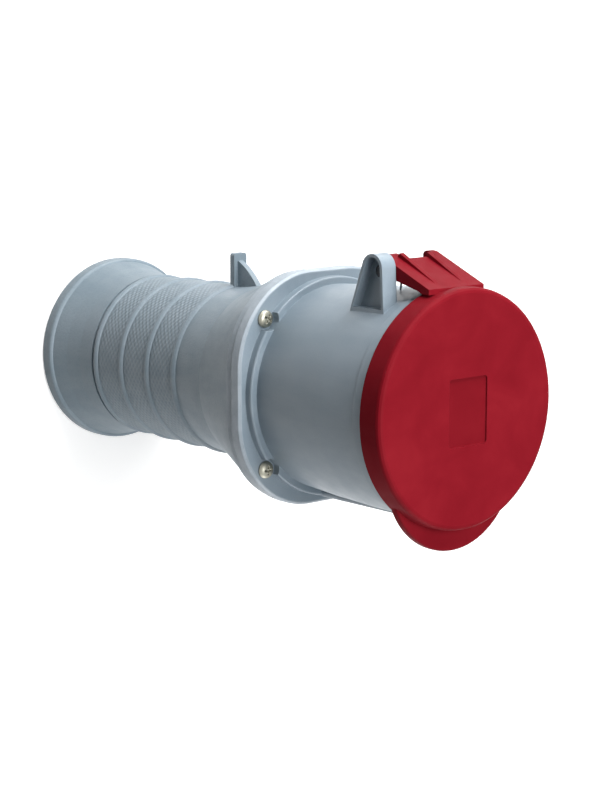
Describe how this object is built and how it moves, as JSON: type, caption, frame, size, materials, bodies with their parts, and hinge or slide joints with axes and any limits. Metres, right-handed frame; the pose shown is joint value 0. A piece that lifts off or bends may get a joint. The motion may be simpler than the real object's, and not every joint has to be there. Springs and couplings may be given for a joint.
{
  "type": "industrial cable coupler",
  "caption": "Splash-proof industrial cable coupler: a female connector with ribbed grip, gland nut, flanged housings and a spring-closed hinged lid.",
  "frame": {"origin": "centre of the cable entry, on the rear end face on which the coupler stands", "axes": "+Z along the coupler from the cable end to the lid, +Y towards the lid hinge, +X to the right when the lid is seen from the front with the hinge up"},
  "size_m": [0.107, 0.1284, 0.25],
  "materials": {
    "grey_plastic": "moulded polyamide, fine satin",
    "red_plastic": "moulded polyamide, satin",
    "black_plastic": "glass-filled polyamide, matt",
    "seal_rubber": "matt elastomer",
    "contact_brass": "turned",
    "zinc_steel": "zinc plated, passivated",
    "spring_steel": "drawn stainless"
  },
  "bodies": {
    "housing": {"gland_nut": "grey_plastic", "gland_thrust_ring": "black_plastic", "gland_seal": "seal_rubber", "rear_housing": "grey_plastic", "flange_gasket": "seal_rubber", "screw_inserts": "contact_brass", "housing_screws": "zinc_steel", "front_housing": "grey_plastic", "contact_carrier": "black_plastic", "carrier_base": "black_plastic", "contact_retainer": "black_plastic", "carrier_screws": "zinc_steel", "contact_earth": "contact_brass", "contact_neutral": "contact_brass", "contact_l1": "contact_brass", "contact_l2": "contact_brass", "contact_l3": "contact_brass", "contact_pilot": "contact_brass", "contact_spring_rings": "spring_steel", "terminal_screws": "zinc_steel", "pilot_terminal_screw": "zinc_steel", "cable_clamp_lower": "black_plastic", "cable_clamp_upper": "black_plastic", "cable_clamp_screws": "zinc_steel", "hinge_pin": "spring_steel", "pin_clip": "spring_steel", "lid_spring": "spring_steel"},
    "lid": {"lid": "red_plastic", "lid_gasket": "seal_rubber"}
  },
  "joints": [
    {"name": "lid_hinge", "type": "hinge", "parent": "housing", "child": "lid", "pos_m": [0, 0.0584, 0.219], "axis": [-1, 0, 0], "range_deg": [0, 110], "stiffness_Nm_per_rad": 0.12, "springref_deg": -51.57, "deforming": ["lid_spring"]}
  ]
}
